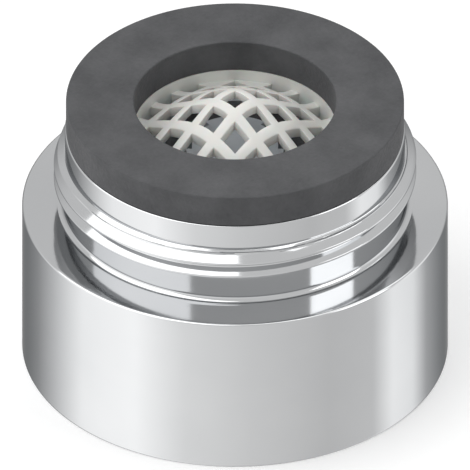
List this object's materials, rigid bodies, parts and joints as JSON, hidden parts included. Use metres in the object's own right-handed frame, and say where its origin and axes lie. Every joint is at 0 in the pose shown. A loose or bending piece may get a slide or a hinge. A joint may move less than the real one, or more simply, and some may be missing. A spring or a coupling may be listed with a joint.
{
  "type": "tap aerator",
  "caption": "Round tap aerator with a short male thread, a flat sealing washer and a domed strainer over a flow-straightening insert.",
  "frame": {"origin": "centre of the outlet rim, the flat ring that the part stands on", "axes": "+Z along the axis from the outlet to the inlet; X and Y along the rows of the strainer's square holes"},
  "size_m": [0.0282, 0.0282, 0.02],
  "materials": {
    "chromed_brass": "chrome plated, polished outside",
    "washer_rubber": "matt moulded rubber",
    "strainer_plastic": "moulded, satin",
    "insert_plastic": "moulded, satin",
    "regulator_plastic": "moulded, satin",
    "ring_rubber": "smooth moulded rubber",
    "screen_steel": "woven stainless wire"
  },
  "bodies": {
    "root": {"housing": "chromed_brass", "sealing_washer": "washer_rubber", "strainer": "strainer_plastic", "insert_barrel": "insert_plastic", "regulator_body": "regulator_plastic", "regulator_ring": "ring_rubber", "jet_plate": "insert_plastic", "mixing_grid_upper": "insert_plastic", "wire_screen": "screen_steel", "mixing_grid_lower": "insert_plastic", "outlet_grid": "insert_plastic"}
  },
  "joints": []
}
